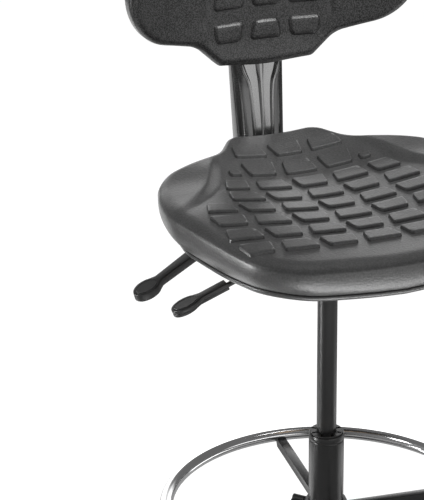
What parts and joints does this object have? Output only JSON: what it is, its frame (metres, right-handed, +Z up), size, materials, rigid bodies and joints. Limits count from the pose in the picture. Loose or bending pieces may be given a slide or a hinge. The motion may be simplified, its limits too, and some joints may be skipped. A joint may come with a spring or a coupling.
{
  "type": "work stool",
  "caption": "Swivel work stool with a dished moulded seat, tailed backrest, gas height column, side levers, chrome foot ring and a star base on glides.",
  "frame": {"origin": "on the floor, on the axis of the column", "axes": "+Z up along the column; the sitter faces -Y; the levers are on the sitter's right, towards -X"},
  "size_m": [0.6186, 0.5907, 1.212],
  "materials": {
    "skin_foam": "satin",
    "black_nylon": "satin",
    "black_steel": "satin",
    "chrome": "polished",
    "bright_steel": "satin",
    "buffer_rubber": "matte",
    "plywood": "matte"
  },
  "bodies": {
    "base": {"base_star": "black_nylon", "glide_stems": "bright_steel", "column_tube": "black_steel", "column_bush": "black_nylon", "column_plate": "bright_steel", "bearing_race_lower": "bright_steel", "bearing_balls": "bright_steel", "glide_1": "black_nylon", "glide_2": "black_nylon", "glide_3": "black_nylon", "glide_4": "black_nylon", "glide_5": "black_nylon"},
    "swivel": {"piston_rod": "bright_steel", "piston_head": "bright_steel", "bearing_race_upper": "bright_steel", "rod_clip": "bright_steel", "buffer_ring": "buffer_rubber"},
    "lift": {"gas_cylinder": "black_steel", "rod_guide": "bright_steel", "taper_socket": "bright_steel", "mechanism_housing": "black_steel", "mechanism_plate": "black_steel", "fulcrum_bracket": "black_steel", "fulcrum_pin": "bright_steel", "pivot_pin": "bright_steel", "pivot_bushes": "black_nylon", "lock_bolt": "bright_steel", "lock_washers": "bright_steel", "cam_washer": "bright_steel", "cam_pin": "bright_steel", "seat_bolts": "bright_steel", "seat_pan": "plywood", "seat_inserts": "bright_steel", "seat_pad": "skin_foam"},
    "height_lever": {"front_lever_rod": "black_steel", "front_lever_grip": "black_nylon"},
    "valve": {"valve_pin": "bright_steel"},
    "angle_lever": {"rear_lever": "black_nylon"},
    "back_arm": {"back_bar": "black_steel", "back_cheeks": "black_steel", "pivot_sleeve": "bright_steel", "upright_cover": "black_nylon"},
    "backrest": {"backrest_pad": "skin_foam", "back_plate": "black_steel", "back_carriage": "black_steel", "liner_front": "black_nylon", "liner_rear": "black_nylon", "back_screws": "bright_steel"},
    "back_clamp": {"back_knob": "black_nylon", "back_knob_stud": "bright_steel"},
    "footrest": {"foot_ring": "chrome", "foot_ring_collar": "black_steel", "collar_sleeve": "black_nylon", "foot_ring_spoke_1": "black_steel", "foot_ring_spoke_2": "black_steel", "foot_ring_spoke_3": "black_steel", "foot_ring_spoke_4": "black_steel"},
    "ring_clamp": {"ring_knob": "black_nylon", "ring_knob_stud": "bright_steel"}
  },
  "joints": [
    {"name": "seat_swivel", "type": "hinge", "parent": "base", "child": "swivel", "pos_m": [0, 0, 0.3], "axis": [0, 0, 1], "continuous": true},
    {"name": "seat_height", "type": "slide", "parent": "swivel", "child": "lift", "axis": [0, 0, 1], "range_m": [-0.25, 0]},
    {"name": "height_lever_lift", "type": "hinge", "parent": "lift", "child": "height_lever", "pos_m": [-0.028, 0, 0.7208], "axis": [0, 1, 0], "range_deg": [0, 8], "stiffness_Nm_per_rad": 2, "springref_deg": -8.59},
    {"name": "valve_press", "type": "slide", "parent": "lift", "child": "valve", "axis": [0, 0, 1], "range_m": [-0.0045, 0], "stiffness_N_per_m": 200, "springref_m": 0.002},
    {"name": "angle_lever_lift", "type": "hinge", "parent": "lift", "child": "angle_lever", "pos_m": [-0.06, 0.077, 0.711], "axis": [0, 1, 0], "range_deg": [0, 10], "stiffness_Nm_per_rad": 2, "springref_deg": -8.59},
    {"name": "back_angle", "type": "hinge", "parent": "lift", "child": "back_arm", "pos_m": [0, 0.105, 0.711], "axis": [-1, 0, 0], "range_deg": [-5, 15]},
    {"name": "back_height", "type": "slide", "parent": "back_arm", "child": "backrest", "axis": [0, 0, 1], "range_m": [0, 0.06]},
    {"name": "back_knob_turn", "type": "hinge", "parent": "backrest", "child": "back_clamp", "pos_m": [0, 0.26, 1.066], "axis": [0, 1, 0], "range_deg": [0, 360]},
    {"name": "foot_ring_height", "type": "slide", "parent": "base", "child": "footrest", "axis": [0, 0, 1], "range_m": [-0.14, 0.06]},
    {"name": "ring_knob_turn", "type": "hinge", "parent": "footrest", "child": "ring_clamp", "pos_m": [0, 0, 0.3], "axis": [-0.6293, 0.7771, 0], "range_deg": [0, 360]}
  ],
  "couplings": [
    {"joint": "valve_press", "follows": "height_lever_lift", "m_per_rad": -0.028}
  ]
}
